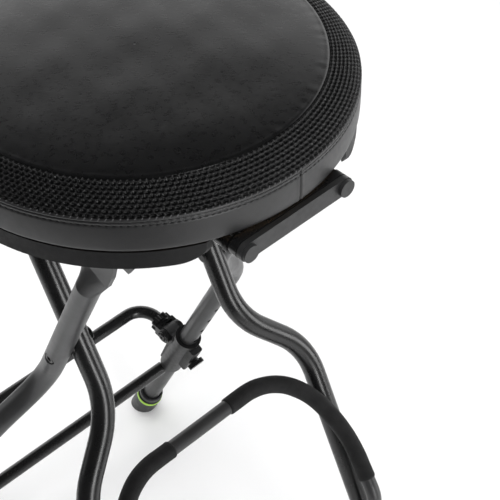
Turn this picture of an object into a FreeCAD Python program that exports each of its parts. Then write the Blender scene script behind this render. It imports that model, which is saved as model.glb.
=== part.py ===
import FreeCAD, Part
import math
import os

from FreeCAD import Placement, Rotation, Vector

# Folding round-seat performer's stool on a scissor frame.
# Millimetres, +Z up, +X to the sitter's right-hand side of the frame pair, the
# front (bumper bar and foam hoop) faces -Y. The origin is on the floor, straight
# below the scissor pivot and in the middle of the four feet.

doc = FreeCAD.newDocument("stool")
sheet = doc.addObject("Spreadsheet::Sheet", "Dimensions")

VALUES = {
    # general arrangement
    "rimheight": 765.0,        # underside of the cushion's rim above the floor
    "seatshift": -14.4,        # seat centre in Y
    "pivotheight": 526.4,      # scissor pivot above the floor
    "legangle": 26.0,          # each frame from the vertical, degrees
    # seat
    "seatradius": 180.0,
    "bandinner": 174.5,
    "bandheight": 31.0,
    "crownheight": 55.0,
    "boardradius": 174.0,
    "boardtop": 12.0,
    "boarddrop": 1.5,
    "skirtradius": 178.2,
    "skirtwall": 2.4,
    "skirttop": 2.2,
    "skirtdrop": 18.5,
    "plate": 2.5,
    # tubes
    "legtube": 22.6,
    "legwall": 1.6,
    "thintube": 15.6,
    "thinwall": 1.3,
    # scissor frames, distances along a leg from the pivot
    "outerupper": 106.5,
    "outerlower": 169.8,
    "outerbendone": 61.0,
    "outerbendtwo": 131.6,
    "innerupper": 82.1,
    "innerlower": 148.0,
    "innerbendone": 76.0,
    "innerbendtwo": 151.0,
    "bendradius": 90.0,
    "topreach": 243.0,         # pivot to each upper pin or cross tube
    "legreach": 572.0,         # pivot to the lower end of a leg tube
    "lowercross": 480.0,
    "flatstart": 150.0,
    "flatend": 178.0,
    "flatwidth": 33.4,
    "flatthick": 5.0,
    "strapend": 13.0,
    "holepitch": 31.5,
    "holefirst": 239.0,
    "holediameter": 7.5,
    # feet, lengths along the leg axis above the floor crossing
    "footradius": 16.4,
    "collarradius": 15.2,
    "footbore": 11.4,
    "ringlow": 33.0,
    "ringhigh": 38.2,
    "shoulder": 40.6,
    "foottop": 49.0,
    # pivot hardware
    "boltshaft": 8.0,
    "dimple": 12.6,
    "dimpledepth": 3.2,
    # footrest
    "sleevetop": 344.0,
    "sleevebottom": 429.0,
    "webtop": 360.0,
    "crossbardown": 436.0,
    "crossbarback": 2.0,
    "sleeveradius": 14.4,
    "sleevebore": 12.7,
    "flangeradius": 16.2,
    "runfit": 0.07,
    "hubback": 23.0,
    "hubdown": 373.0,
    "hubradius": 9.8,
    "knobdown": 376.0,
    "bartilt": 8.4,
    "barreach": 52.9,
    "barbend": 27.0,
    # foam hoop
    "hoopoffset": 4.0,
    "hoopdown": 157.5,
    "hooptilt": 19.5,
    "hoopbare": 37.0,
    "foamradius": 9.3,
    "hooppivot": 385.0,
    # bumper
    "bumperhalf": 51.2,
    "bumperfront": 182.5,
    "bumperthick": 13.5,
    "bumpertall": 16.8,
    "bumperdrop": 13.2,
    "postdiameter": 15.4,
    "postdrop": 15.2,
}
for row, (alias, value) in enumerate(VALUES.items(), start=2):
    sheet.set("A%d" % row, alias)
    sheet.set("B%d" % row, str(value))
    sheet.setAlias("B%d" % row, alias)
doc.recompute()


def val(alias):
    return float(sheet.get(alias))


def ex(text):
    """Turn $alias into a reference to the sheet."""
    return text.replace("$", "Dimensions.")


# ------------------------------------------------------------------ helpers
def bind(obj, **props):
    for prop, expression in props.items():
        obj.setExpression(prop, ex(expression))
    return obj


def place(obj, x=0.0, y=0.0, z=0.0, axis=None, angle=0.0):
    obj.Placement = Placement(Vector(x, y, z), Rotation(axis or Vector(0, 0, 1), angle))
    return obj


XDIR, YDIR, ZDIR = Vector(1, 0, 0), Vector(0, 1, 0), Vector(0, 0, 1)
COUNT = [0]


def fresh(kind, stem="shape"):
    COUNT[0] += 1
    return doc.addObject(kind, "%s%03d" % (stem, COUNT[0]))


def cylinder(radius, height, at=(0, 0, 0), along=ZDIR):
    """Cylinder from `at` along a direction; sizes are sheet expressions."""
    obj = bind(fresh("Part::Cylinder", "cyl"), Radius=radius, Height=height)
    obj.Placement = Placement(Vector(*at), Rotation(ZDIR, Vector(along)))
    return obj


def block(length, width, height, at=(0, 0, 0)):
    obj = bind(fresh("Part::Box", "box"), Length=length, Width=width, Height=height)
    obj.Placement = Placement(Vector(*at), Rotation())
    return obj


def cone(r1, r2, height, at=(0, 0, 0), along=ZDIR):
    obj = bind(fresh("Part::Cone", "cone"), Radius1=r1, Radius2=r2, Height=height)
    obj.Placement = Placement(Vector(*at), Rotation(ZDIR, Vector(along)))
    return obj


def fuse(*shapes):
    obj = fresh("Part::MultiFuse", "fuse")
    obj.Shapes = list(shapes)
    obj.Refine = True
    return obj


def cut(base, *tools):
    for tool in tools:
        obj = fresh("Part::Cut", "cut")
        obj.Base, obj.Tool = base, tool
        base = obj
    return base


def common(one, two):
    obj = fresh("Part::Common", "common")
    obj.Base, obj.Tool = one, two
    return obj


def mirror(source):
    obj = fresh("Part::Mirroring", "mirror")
    obj.Source = source
    obj.Base = Vector(0, 0, 0)
    obj.Normal = XDIR
    return obj


def group(*shapes):
    obj = fresh("Part::Compound", "group")
    obj.Links = list(shapes)
    return obj


def path(points, radii):
    """A wire of straight runs joined by tangent arcs at the inner points."""
    pts = [Vector(*p) for p in points]
    edges, start = [], pts[0]
    for i in range(1, len(pts) - 1):
        a = (pts[i - 1] - pts[i]).normalize()
        b = (pts[i + 1] - pts[i]).normalize()
        half = a.getAngle(b) / 2
        reach = radii[i - 1] / math.tan(half)
        p1, p2 = pts[i] + a * reach, pts[i] + b * reach
        middle = (a + b).normalize()
        centre = pts[i] + middle * (radii[i - 1] / math.sin(half))
        crown = centre - middle * radii[i - 1]
        if (p1 - start).Length > 1e-4:
            edges.append(Part.LineSegment(start, p1).toShape())
        edges.append(Part.Arc(p1, crown, p2).toShape())
        start = p2
    edges.append(Part.LineSegment(start, pts[-1]).toShape())
    feature = fresh("Part::Feature", "route")
    feature.Shape = Part.Wire(edges)
    return feature


def sweep(route, diameter):
    wire = route.Shape
    first = wire.OrderedEdges[0] if hasattr(wire, "OrderedEdges") else wire.Edges[0]
    start = first.valueAt(first.FirstParameter)
    heading = first.tangentAt(first.FirstParameter)
    ring = bind(fresh("Part::Circle", "ring"), Radius=diameter)
    ring.Placement = Placement(start, Rotation(ZDIR, heading))
    obj = fresh("Part::Sweep", "sweep")
    obj.Sections = [ring]
    obj.Spine = (route, ["Edge%d" % (i + 1) for i in range(len(wire.Edges))])
    obj.Solid = True
    obj.Frenet = False
    return obj


def tube(points, radii, diameter, wall):
    route = path(points, radii)
    outside = sweep(route, "%s / 2" % diameter)
    inside = sweep(route, "%s / 2 - %s" % (diameter, wall))
    return cut(outside, inside)


def polygon_prism(points, direction):
    """Straight prism of a closed outline."""
    wire = Part.makePolygon([Vector(*p) for p in points] + [Vector(*points[0])])
    feature = fresh("Part::Feature", "prism")
    feature.Shape = Part.Face(wire).extrude(Vector(*direction))
    return feature


NODES = []


def node(label, obj, frame=None):
    """Register a finished piece; frame is the placement of its leg frame."""
    if frame is not None:
        obj.Placement = frame.multiply(obj.Placement)
    obj.Label = label
    NODES.append(obj)
    return obj


ANGLE = math.radians(val("legangle"))
PIVOT = Vector(0, 0, val("pivotheight"))
# Leg frames: local +Z runs up the legs, local -Y is the face towards the front.
OUTER = Placement(PIVOT, Rotation(XDIR, val("legangle")))
INNER = Placement(PIVOT, Rotation(XDIR, -val("legangle")))
SEAT = Vector(0, val("seatshift"), val("rimheight"))


def seat_placed(obj):
    obj.Placement = Placement(SEAT, Rotation()).multiply(obj.Placement)
    return obj


# ------------------------------------------------------------------ PartDesign bodies
def plane_of(body, role):
    for feature in body.Origin.OriginFeatures:
        if feature.Role == role:
            return feature
    raise ValueError(role)


def body_sketch(body, role, name):
    sketch = body.newObject("Sketcher::SketchObject", name)
    sketch.AttachmentSupport = (plane_of(body, role), "")
    sketch.MapMode = "FlatFace"
    return sketch


def outline(sketch, points):
    import Sketcher
    count = len(points)
    for i in range(count):
        a, b = points[i], points[(i + 1) % count]
        sketch.addGeometry(Part.LineSegment(Vector(a[0], a[1], 0), Vector(b[0], b[1], 0)), False)
    for i in range(count):
        sketch.addConstraint(Sketcher.Constraint("Coincident", i, 2, (i + 1) % count, 1))


def revolved(name, points):
    """Body turned about its own Z axis from a half profile of (radius, height)."""
    body = doc.addObject("PartDesign::Body", name)
    sketch = body_sketch(body, "XZ_Plane", name + "_profile")
    outline(sketch, points)
    turn = body.newObject("PartDesign::Revolution", name + "_turn")
    turn.Profile = sketch
    turn.ReferenceAxis = (sketch, ["V_Axis"])
    turn.Angle = 360.0
    body.Tip = turn
    return body


def disc(name, radius, thickness):
    """Body padded from one circle; both sizes come from the sheet."""
    import Sketcher
    body = doc.addObject("PartDesign::Body", name)
    sketch = body_sketch(body, "XY_Plane", name + "_circle")
    sketch.addGeometry(Part.Circle(Vector(0, 0, 0), ZDIR, 10.0), False)
    sketch.addConstraint(Sketcher.Constraint("Coincident", 0, 3, -1, 1))
    sketch.addConstraint(Sketcher.Constraint("Radius", 0, 10.0))
    sketch.setExpression("Constraints[1]", ex(radius))
    pad = body.newObject("PartDesign::Pad", name + "_pad")
    pad.Profile = sketch
    pad.setExpression("Length", ex(thickness))
    body.Tip = pad
    return body


# ================================================================== legs
leg_r = val("legtube") / 2
down = val("legreach")


# --- outer frame: feet to the rear, flattened tops hinged under the seat
route_points = [
    (val("outerupper"), 0, val("flatstart")),
    (val("outerupper"), 0, -val("outerbendone")),
    (val("outerlower"), 0, -val("outerbendtwo")),
    (val("outerlower"), 0, -down),
]
outer_tube = tube(route_points, [val("bendradius")] * 2, "$legtube", "$legwall")

# flattened end: round at flatstart, a flat strap at flatend and above
xo = val("outerupper")
round_wire = Part.Wire(Part.makeCircle(leg_r, Vector(xo, 0, val("flatstart")), ZDIR))
half_w, half_t = val("flatwidth") / 2, val("flatthick") / 2


def strap_wire(z):
    r = half_t * 0.98
    s = Part.Wire([
        Part.LineSegment(Vector(xo - half_t, -half_w + r, z), Vector(xo - half_t, half_w - r, z)).toShape(),
        Part.Arc(Vector(xo - half_t, half_w - r, z), Vector(xo, half_w, z), Vector(xo + half_t, half_w - r, z)).toShape(),
        Part.LineSegment(Vector(xo + half_t, half_w - r, z), Vector(xo + half_t, -half_w + r, z)).toShape(),
        Part.Arc(Vector(xo + half_t, -half_w + r, z), Vector(xo, -half_w, z), Vector(xo - half_t, -half_w + r, z)).toShape(),
    ])
    return s


crimp = fresh("Part::Feature", "crimp")
crimp.Shape = Part.makeLoft([round_wire, strap_wire(val("flatend"))], True, True)
strap_r = val("strapend")
taper_at = val("topreach") - 26.0
strap = polygon_prism([
    (xo - half_t, -half_w, val("flatend")), (xo - half_t, half_w, val("flatend")),
    (xo - half_t, half_w, taper_at - 22.0), (xo - half_t, strap_r, taper_at),
    (xo - half_t, strap_r, val("topreach")), (xo - half_t, -strap_r, val("topreach")),
    (xo - half_t, -strap_r, taper_at), (xo - half_t, -half_w, taper_at - 22.0)], (val("flatthick"), 0, 0))
strap_end = cylinder("$strapend", "$flatthick", (xo - half_t, 0, val("topreach")), XDIR)
strap_whole = fuse(strap, strap_end)
bore_plug = common(
    cylinder("$legtube / 2 - 0.2", "44", (xo, 0, -22)),
    cylinder("10", "40", (xo - 20, 0, 0), XDIR),
)
outer_leg = fuse(outer_tube, crimp, strap_whole, bore_plug)
outer_leg = cut(
    outer_leg,
    cylinder("$boltshaft / 2 + 0.05", "60", (xo - 30, 0, 0), XDIR),
    cylinder("$dimple / 2", "20", (xo + leg_r - val("dimpledepth"), 0, 0), XDIR),
    cylinder("$boltshaft / 2 + 0.05", "60", (xo - 30, 0, val("topreach")), XDIR),
)
for index in range(6):
    s = val("holefirst") + index * val("holepitch")
    outer_leg = cut(outer_leg, cylinder("$holediameter / 2", "14", (val("outerlower"), 0, -s), Vector(0, -1, 0)))
node("outer_leg_right", outer_leg, OUTER)
node("outer_leg_left", mirror(outer_leg))

# --- inner frame: feet to the front, joined at the top by the sliding cross tube
route_points = [
    (val("innerupper"), 0, val("topreach") + 4.0),
    (val("innerupper"), 0, -val("innerbendone")),
    (val("innerlower"), 0, -val("innerbendtwo")),
    (val("innerlower"), 0, -down),
]
inner_tube = tube(route_points, [val("bendradius")] * 2, "$legtube", "$legwall")
xi = val("innerupper")
inner_plug = common(
    cylinder("$legtube / 2 - 0.2", "44", (xi, 0, -22)),
    cylinder("10", "40", (xi - 20, 0, 0), XDIR),
)
xl = val("innerlower")
hoop_plug = common(
    cylinder("$legtube / 2 - 0.2", "44", (xl, 0, -val("hooppivot") - 22)),
    cylinder("8", "40", (xl - 20, 0, -val("hooppivot")), XDIR),
)
inner_leg = cut(
    fuse(inner_tube, inner_plug, hoop_plug),
    cylinder("$boltshaft / 2 + 0.05", "60", (xi - 30, 0, 0), XDIR),
    cylinder("3.05", "60", (xl - 30, 0, -val("hooppivot")), XDIR),
)
node("inner_leg_right", inner_leg, INNER)
node("inner_leg_left", mirror(inner_leg))


def cross_between(diameter, wall, reach, z, leg_x):
    """Straight tube along X coped onto both legs."""
    outside = cylinder("%s / 2" % diameter, "2 * %s" % reach, (-val(reach.strip("$")), 0, z), XDIR)
    inside = cylinder("%s / 2 - %s" % (diameter, wall), "2 * %s" % reach, (-val(reach.strip("$")), 0, z), XDIR)
    hull = cut(outside, inside)
    for side in (-1, 1):
        hull = cut(hull, cylinder("$legtube / 2", "120", (side * leg_x, 0, z - 60)))
    return hull


top_tube = cross_between("$legtube", "$legwall", "$innerupper", val("topreach"), xi)
node("slide_cross_tube", top_tube, INNER)
low_tube = cross_between("$thintube", "$thinwall", "$innerlower", -val("lowercross"), xl)
node("front_cross_tube", low_tube, INNER)

# caps that close the tops of the inner legs
cap = fuse(
    cylinder("$legtube / 2 - $legwall", "10", (xi, 0, val("topreach") - 5.8)),
    cone("$legtube / 2", "$legtube / 2 - 1.5", "2", (xi, 0, val("topreach") + 4.2)),
)
cap.Placement = INNER
node("leg_top_caps", group(cap, mirror(cap)))

# ------------------------------------------------------------------ feet
COS = math.cos(ANGLE)
ground = val("pivotheight") / COS     # distance along a leg from the pivot to the floor


def foot_pair(prefix, frame, leg_x):
    fr, cr, bore = val("footradius"), val("collarradius"), val("footbore")
    lo, hi, sh, top = val("ringlow"), val("ringhigh"), val("shoulder"), val("foottop")
    gap = 0.0
    rubber = revolved(prefix + "_boot", [
        (0, -16), (fr, -16), (fr, lo - gap), (fr - 1.8, lo - gap), (fr - 1.8, hi + gap),
        (fr, hi + gap), (fr - 0.6, hi + 1.0), (cr - 1.0, sh - 0.6), (cr, sh + 0.6), (cr, top - 1.2), (cr - 1.4, top),
        (bore + 1.2, top), (bore, top - 1.6), (bore, ground - down - 0.2), (0, ground - down - 0.2)])
    rubber.Placement = frame.multiply(Placement(Vector(leg_x, 0, -ground), Rotation()))
    floor_slab = block("600", "900", "60", (-100, -450, -60))
    sole = cut(rubber, floor_slab)
    node(prefix + "_feet", group(sole, mirror(sole)))
    ring = revolved(prefix + "_band", [
        (fr - 1.8, lo), (fr + 0.35, lo), (fr + 0.5, (lo + hi) / 2), (fr + 0.35, hi), (fr - 1.8, hi)])
    ring.Placement = frame.multiply(Placement(Vector(leg_x, 0, -ground), Rotation()))
    node(prefix + "_foot_rings", group(ring, mirror(ring)))


foot_pair("rear", OUTER, val("outerlower"))
foot_pair("front", INNER, val("innerlower"))

# ------------------------------------------------------------------ scissor pivot hardware
outer_face = xo + leg_r
inner_face = xi - leg_r
bolt = cut(
    fuse(
        cylinder("$boltshaft / 2", "%.3f" % (outer_face - val("dimpledepth") - inner_face + 1.2), (inner_face - 1.2, 0, 0), XDIR),
        cone("$dimple / 2 - 0.6", "$dimple / 2 - 1.4", "2.2", (outer_face - val("dimpledepth"), 0, 0), XDIR),
    ),
    cylinder("2.5", "3", (outer_face - val("dimpledepth") + 0.4, 0, 0), XDIR),
)
bolt.Placement = OUTER
node("pivot_bolts", group(bolt, mirror(bolt)))

gap_width = (xo - leg_r) - (xi + leg_r)
spacer = cut(
    cylinder("8.5", "%.3f" % (gap_width - 0.3), (xi + leg_r + 0.15, 0, 0), XDIR),
    cylinder("$boltshaft / 2 + 0.05", "10", (xi + leg_r - 4, 0, 0), XDIR),
)
spacer.Placement = OUTER
node("pivot_spacers", group(spacer, mirror(spacer)))

# low riveted heads on the inner side
nut = cut(
    fuse(cylinder("6.4", "0.9", (inner_face - 1.1, 0, 0), XDIR),
         cone("4.6", "6.4", "0.7", (inner_face - 1.8, 0, 0), XDIR)),
    cylinder("$boltshaft / 2", "6", (inner_face - 1.2, 0, 0), XDIR))
nut.Placement = OUTER
node("pivot_nuts", group(nut, mirror(nut)))

# ================================================================== seat
sr, bi = val("seatradius"), val("bandinner")
seam, crown, btop = val("bandheight"), val("crownheight"), val("boardtop")
cushion = revolved("cushion", [
    (0, btop + 0.5), (bi, btop + 0.5), (bi, 0.0), (sr - 1.0, 0.0), (sr, 1.0), (sr, 16.0),
    (sr - 0.7, seam), (177.0, 34.5), (170.0, 40.5), (162.0, 45.0), (154.4, 48.2), (140.0, 50.6),
    (110.0, 53.0), (60.0, 54.6), (0, crown)])
node("seat_cushion", seat_placed(cushion))
board = disc("board", "$boardradius", "$boardtop + $boarddrop")
board.Placement = Placement(Vector(0, 0, -val("boarddrop")), Rotation())
for x in (-1, 1):
    for y in (-1, 1):
        board = cut(board, cylinder("2.5", "8", (x * 70, y * 74, -val("boarddrop") - 1.0)))
node("seat_board", seat_placed(board))

# side skirts: curved valances on the left and right, open to the front and rear
top_z, low_z = -val("skirttop"), -val("skirtdrop")
ring_solid = cut(
    cylinder("$skirtradius", "$skirtdrop - $skirttop", (0, 0, low_z)),
    cylinder("$skirtradius - $skirtwall", "$skirtdrop", (0, 0, low_z - 1)),
)
flange = cut(
    cylinder("$skirtradius - $skirtwall / 2", "1.6", (0, 0, top_z - 1.6)),
    cylinder("150", "6", (0, 0, top_z - 4)),
)
strip = fuse(ring_solid, flange)
end_y = 162.0
side_room = block("120", "2 * 162", "40", (66, -end_y, -30))
skirt = common(strip, side_room)
rr = 11.0
for side in (-1, 1):
    corner = cut(
        block("80", "%.2f" % rr, "%.2f" % rr, (50, side * end_y - (0 if side < 0 else rr), low_z)),
        cylinder("%.2f" % rr, "90", (45, side * (end_y - rr), low_z + rr), XDIR),
    )
    skirt = cut(skirt, corner)
node("side_skirt_right", seat_placed(skirt))
node("side_skirt_left", mirror(skirt))

# steel mounting plate under the board
plate_z = -val("boarddrop") - val("plate")
pan = block("236", "176", "$plate", (-118, -88, plate_z))
for x in (-1, 1):
    for y in (-1, 1):
        pan = cut(pan, cylinder("2.7", "10", (x * 70, y * 74, plate_z - 4)))
node("seat_plate", seat_placed(pan))
screws = []
for x in (-1, 1):
    for y in (-1, 1):
        screws.append(fuse(
            cylinder("2.45", "8.5", (x * 70, y * 74, plate_z)),
            cone("3.0", "5.0", "2.4", (x * 70, y * 74, plate_z - 2.4)),
        ))
node("seat_screws", seat_placed(group(*screws)))

# hinge brackets: channels that hold the flattened leg tops
hinge_y = -val("topreach") * math.sin(ANGLE) - val("seatshift")
hinge_z = val("pivotheight") + val("topreach") * COS - val("rimheight")


def ear(x0, thick):
    profile = [
        (x0, -57.0, plate_z - 2.4), (x0, -133.0, plate_z - 2.4), (x0, -133.0, -17.0),
        (x0, -123.0, -31.5), (x0, -112.0, -23.5 - 6.0), (x0, -78.0, -31.0), (x0, -57.0, -14.0)]
    return cut(polygon_prism(profile, (thick, 0, 0)),
               cylinder("$boltshaft / 2 + 0.05", "20", (x0 - 6, hinge_y, hinge_z), XDIR))


bracket = fuse(
    block("24.5", "70", "2.4", (94.0, -127.0, plate_z - 2.4)),
    ear(94.0, 2.5), ear(116.0, 2.5),
)
bracket = common(bracket, cylinder("$skirtradius - $skirtwall - 0.6", "60", (0, 0, -50)))
node("hinge_bracket_right", seat_placed(bracket))
node("hinge_bracket_left", mirror(bracket))

pin = fuse(
    cylinder("$boltshaft / 2", "27.6", (92.6, hinge_y, hinge_z), XDIR),
    cylinder("6.2", "1.6", (92.3, hinge_y, hinge_z), XDIR),
    cylinder("6.6", "3.0", (118.6, hinge_y, hinge_z), XDIR),
)
node("hinge_bolts", seat_placed(group(pin, mirror(pin))))
wash = []
for x0, width in ((96.7, 7.0), (109.3, 6.5)):
    wash.append(cut(cylinder("7.0", "%.2f" % width, (x0, hinge_y, hinge_z), XDIR),
                    cylinder("$boltshaft / 2 + 0.05", "20", (x0 - 4, hinge_y, hinge_z), XDIR)))
node("hinge_spacers", seat_placed(group(*(wash + [mirror(w) for w in wash]))))

# slotted rails that the inner frame's cross tube slides in
slide_near = -hinge_y - 2 * val("topreach") * 0
y_rest = val("topreach") * math.sin(ANGLE) - val("seatshift")
y_fold = hinge_y + 2 * val("topreach") * math.sin(math.radians(26.0 - 20.0))
slot_r = leg_r + 0.35
rail_body = polygon_prism([
    (56.0, y_fold - 26, plate_z - 2.4), (56.0, y_fold - 26, hinge_z - 12), (56.0, y_fold - 14, hinge_z - 19.5),
    (56.0, y_rest + 14, hinge_z - 19.5), (56.0, y_rest + 24, hinge_z - 10), (56.0, y_rest + 24, plate_z - 2.4)], (3.0, 0, 0))
rail_slot = fuse(
    block("20", "%.3f" % (y_rest - y_fold), "%.3f" % (2 * slot_r), (48, y_fold, hinge_z - slot_r)),
    cylinder("%.3f" % slot_r, "20", (48, y_fold, hinge_z), XDIR),
    cylinder("%.3f" % slot_r, "20", (48, y_rest, hinge_z), XDIR),
)
rail_top = block("20", "%.3f" % (88.0 - (y_fold - 26)), "2.4", (39.0, y_fold - 26, plate_z - 2.4))
rail = fuse(cut(rail_body, rail_slot), rail_top)
node("slide_rail_right", seat_placed(rail))
node("slide_rail_left", mirror(rail))

# ================================================================== footrest
RX = val("outerlower")
s_top, s_bot = val("sleevetop"), val("sleevebottom")
hub_n, hub_s = val("hubback"), val("hubdown")
w_top, bar_s, bar_n = val("webtop"), val("crossbardown"), val("crossbarback")
web = polygon_prism([
    (RX - 7.2, 4.0, -(w_top - 1)), (RX - 7.2, hub_n - 5.0, -(w_top + 4.6)), (RX - 7.2, hub_n + 6.0, -(hub_s + 8.0)),
    (RX - 7.2, 16.5, -(hub_s + 17.0)), (RX - 7.2, 14.6, -(bar_s - 8)), (RX - 7.2, 4.0, -(s_bot - 1))], (14.4, 0, 0))
# boss for the clamping screw: a long pad down the front of the sleeve
kz = -val("knobdown")
pad = block("16.0", "14.0", "48.0", (RX - 8.0, -22.6, -(s_top + 56.0)))
for side in (-1, 1):
    pad = cut(pad, cut(block("6.0", "6.0", "60", (RX + side * 8.0 - 3.0, -25.6, -(s_top + 60.0))), cylinder("3.0", "60", (RX + side * 5.0, -19.6, -(s_top + 60.0)))))
pad = cut(pad, cylinder("2.1", "1.6", (RX - 3.5, -23.0, kz + 14.5), YDIR), block("3.0", "1.4", "11.0", (RX - 1.5, -23.0, kz - 26.0)))
casting = fuse(
    cylinder("$sleeveradius", "$sleevebottom - $sleevetop - 7", (RX, 0, -s_bot)),
    web,
    cylinder("$hubradius", "17", (RX - 8.5, hub_n, -hub_s), XDIR),
    pad,
)
casting = cut(
    casting,
    cylinder("$sleevebore", "200", (RX, 0, -s_bot - 20)),
    cylinder("3.1", "40", (RX - 20, hub_n, -hub_s), XDIR),
    cylinder("4.1", "40", (RX, 0, kz), Vector(0, -1, 0)),
)
node("footrest_sleeve_right", casting, OUTER)
node("footrest_sleeve_left", mirror(casting))

liners = []
for z0, z1, flange_at in ((s_top + 24, s_top, s_top + 6.6), (s_bot + 1.6, s_bot - 18, None)):
    liner = cylinder("$sleevebore", "%.3f" % (z0 - z1), (RX, 0, -z0))
    if flange_at:
        lip = cylinder("$flangeradius", "6.6", (RX, 0, -flange_at))
    else:
        lip = cylinder("$sleeveradius - 0.3", "1.5", (RX, 0, -(s_bot + 1.6)))
    liners.append(cut(fuse(liner, lip), cylinder("$legtube / 2 + $runfit", "80", (RX, 0, -z0 - 20))))
liners[0] = cut(liners[0], cylinder("4.2", "40", (RX, 0, -val("knobdown")), Vector(0, -1, 0)))
pair = group(*liners)
pair.Placement = OUTER
node("sleeve_bushings", group(pair, mirror(pair)))

cross = cut(
    cut(cylinder("$thintube / 2", "2 * $outerlower", (-RX, bar_n, -bar_s), XDIR),
        cylinder("$thintube / 2 - $thinwall", "2 * $outerlower", (-RX, bar_n, -bar_s), XDIR)),
    cylinder("$sleeveradius + 0.4", "120", (RX, 0, -s_bot - 40)),
    cylinder("$sleeveradius + 0.4", "120", (-RX, 0, -s_bot - 40)),
)
node("footrest_crossbar", cross, OUTER)

# foot bar: a U-shaped tube in two forked knuckles that tilt on the hubs
hub_at = OUTER.multVec(Vector(0, hub_n, -hub_s))
BAR = Placement(hub_at, Rotation(XDIR, val("bartilt")))
reach = val("barreach")
foot_bar = tube([
    (RX, 14.0, 0), (RX, reach, 0), (-RX, reach, 0), (-RX, 14.0, 0)],
    [val("barbend")] * 2, "$thintube", "$thinwall")
node("foot_bar", foot_bar, BAR)


fork = fuse(
    cylinder("$hubradius - 0.2", "4.6", (RX - 13.6, 0, 0), XDIR),
    cylinder("$hubradius - 0.2", "4.6", (RX + 9.0, 0, 0), XDIR),
    block("4.6", "13.0", "15", (RX - 13.6, 0, -7.5)),
    block("4.6", "13.0", "15", (RX + 9.0, 0, -7.5)),
    block("27.2", "3.6", "15", (RX - 13.6, 10.4, -7.5)),
    cylinder("$thintube / 2 + 2.2", "11", (RX, 12.5, 0), YDIR),
)
# a raised rim around each cheek's screw
rim = cut(cylinder("8.0", "1.2", (RX - 14.6, 0, 0), XDIR), cylinder("6.6", "1.2", (RX - 14.6, 0, 0), XDIR))
far_rim = cut(cylinder("8.0", "1.2", (RX + 13.4, 0, 0), XDIR), cylinder("6.6", "1.4", (RX + 13.4, 0, 0), XDIR))
fork = fuse(fork, rim, far_rim)
fork = cut(fork,
           cylinder("$thintube / 2", "30", (RX, 14.0, 0), YDIR),
           cylinder("3.1", "60", (RX - 30, 0, 0), XDIR))
fork.Placement = BAR
node("foot_bar_knuckles", group(fork, mirror(fork)))

star = cylinder("$thintube / 2 + 3.6", "7.0", (RX, 15.2, 0), YDIR)
lugs = [star]
for k in range(8):
    a = math.radians(45 * k + 22.5)
    r = val("thintube") / 2 + 3.2
    lugs.append(cylinder("2.5", "7.0", (RX + r * math.cos(a), 15.2, r * math.sin(a)), YDIR))
star = cut(fuse(*lugs), cylinder("$thintube / 2 + 2.2", "20", (RX, 10, 0), YDIR))
star.Placement = BAR
node("foot_bar_collars", group(star, mirror(star)))

hub_pin = cut(
    fuse(cylinder("3.0", "28.4", (RX - 14.2, hub_n, -hub_s), XDIR),
         cone("4.6", "5.2", "2.2", (RX - 16.1, hub_n, -hub_s), XDIR),
         cylinder("5.4", "2.6", (RX + 13.9, hub_n, -hub_s), XDIR)),
    cylinder("1.9", "1.4", (RX - 16.4, hub_n, -hub_s), XDIR),
)
hub_pin.Placement = OUTER
node("hub_screws", group(hub_pin, mirror(hub_pin)))

# clamping screws with a wing, one on each sleeve
wing = fuse(
    block("22", "5.6", "8.0", (RX - 11.0, -30.6, kz - 4.0)),
    cylinder("6.6", "3.6", (RX, -23.0, kz), Vector(0, -1, 0)),
    cylinder("4.0", "13.0", (RX, -11.7, kz), Vector(0, -1, 0)),
)
tip_cut = fuse(
    cut(block("8", "10", "12", (RX + 7.0, -33, kz - 6)), cylinder("4.0", "20", (RX + 7.0, -15, kz), Vector(0, -1, 0))),
    cut(block("8", "10", "12", (RX - 15.0, -33, kz - 6)), cylinder("4.0", "20", (RX - 7.0, -15, kz), Vector(0, -1, 0))),
)
wing = cut(wing, tip_cut)
node("clamp_knob_right", wing, OUTER)
node("clamp_knob_left", mirror(wing))

# ================================================================== foam hoop
ht = math.radians(val("hooptilt"))
# plane of the hoop in the inner frame: u runs down the hoop from its bar
hoop_origin = Vector(0, val("hoopoffset"), -val("hoopdown"))
HOOP = Placement(hoop_origin, Rotation(XDIR, -val("hooptilt")))
HX = 133.6


def hoop_point(x, u):
    return HOOP.multVec(Vector(x, 0, -u))


hp = Vector(HX, 0, -val("hooppivot"))
knee = hoop_point(131.5, 176.0)
lug_dir = Vector(0, knee.y - hp.y, knee.z - hp.z).normalize()
arm_points = [
    hoop_point(0, 0), hoop_point(95.0, 0), hoop_point(129.0, 45.0), hoop_point(142.2, 98.0),
    knee, hp + lug_dir * 31.0]
arm_radii = [71.0, 90.0, 150.0, 27.0]
full = [tuple(Vector(-p.x, p.y, p.z)) for p in reversed(arm_points[1:])] + [tuple(p) for p in arm_points[1:]]
hoop = tube(full, list(reversed(arm_radii)) + arm_radii, "$thintube", "$thinwall")
# the arms are slit at their ends for the flat lugs
for side in (1, -1):
    blade = block("5.0", "16", "44.3")
    blade.Placement = Placement(Vector(side * HX, hp.y, hp.z), Rotation(ZDIR, lug_dir)).multiply(
        Placement(Vector(-2.5, -8, 0), Rotation()))
    hoop = cut(hoop, blade)
node("hoop_tube", hoop, INNER)

lug = fuse(
    block("5.0", "15.6", "44", (HX - 2.5, -7.8, 0)),
    cylinder("7.8", "5.0", (HX - 2.5, 0, 0), XDIR),
)
lug = cut(lug, cylinder("3.1", "20", (HX - 10, 0, 0), XDIR))
lug.Placement = INNER.multiply(Placement(Vector(0, hp.y, hp.z), Rotation(ZDIR, lug_dir)))
node("hoop_lugs", group(lug, mirror(lug)))


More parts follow.
